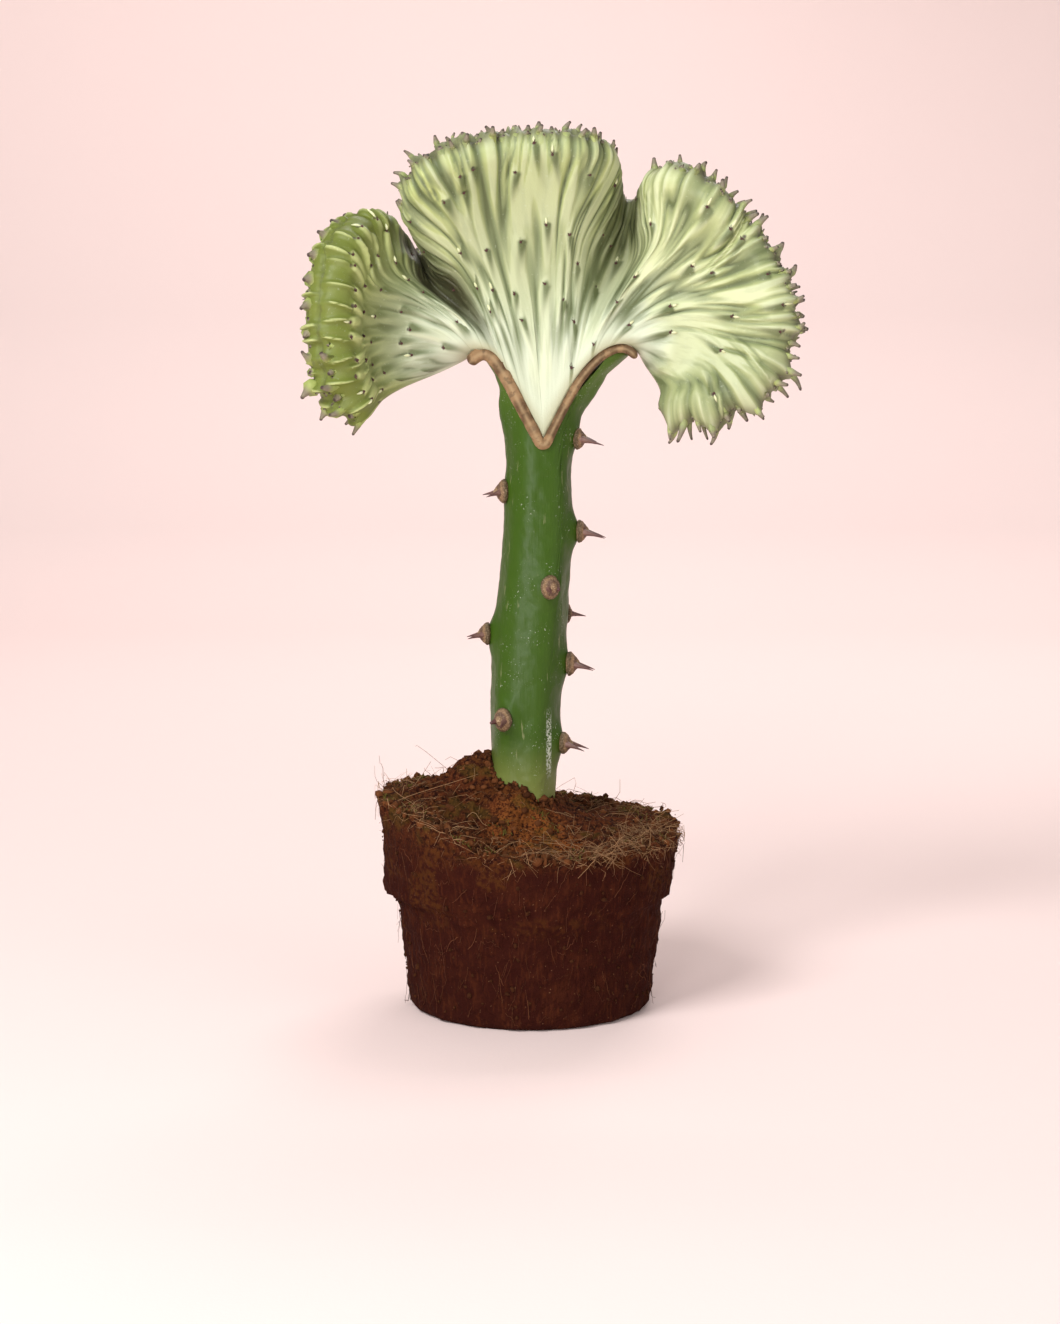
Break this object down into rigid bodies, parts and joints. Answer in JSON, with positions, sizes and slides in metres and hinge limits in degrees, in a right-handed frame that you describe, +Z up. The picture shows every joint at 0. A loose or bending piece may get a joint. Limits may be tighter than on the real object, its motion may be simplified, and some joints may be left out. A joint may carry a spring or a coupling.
{
  "type": "potted crested spurge",
  "caption": "Crested, mottled spurge: a folded, toothed fan grafted in a notch on a thorny green stock that stands in its moulded root ball.",
  "frame": {"origin": "centre of the root ball's flat underside, on the axis of the root ball", "axes": "+Z up, along the stem; -Y towards the front, the side on which the fan's left lobe shows its growing edge; X across the fan"},
  "size_m": [0.1919, 0.1208, 0.3498],
  "materials": {
    "soil": "matte",
    "stock": "satin",
    "cork": "matte",
    "crest": "satin"
  },
  "bodies": {
    "root": {"root_ball": "soil", "stock_stem": "stock", "graft_seam": "cork", "crest": "crest"}
  },
  "joints": []
}
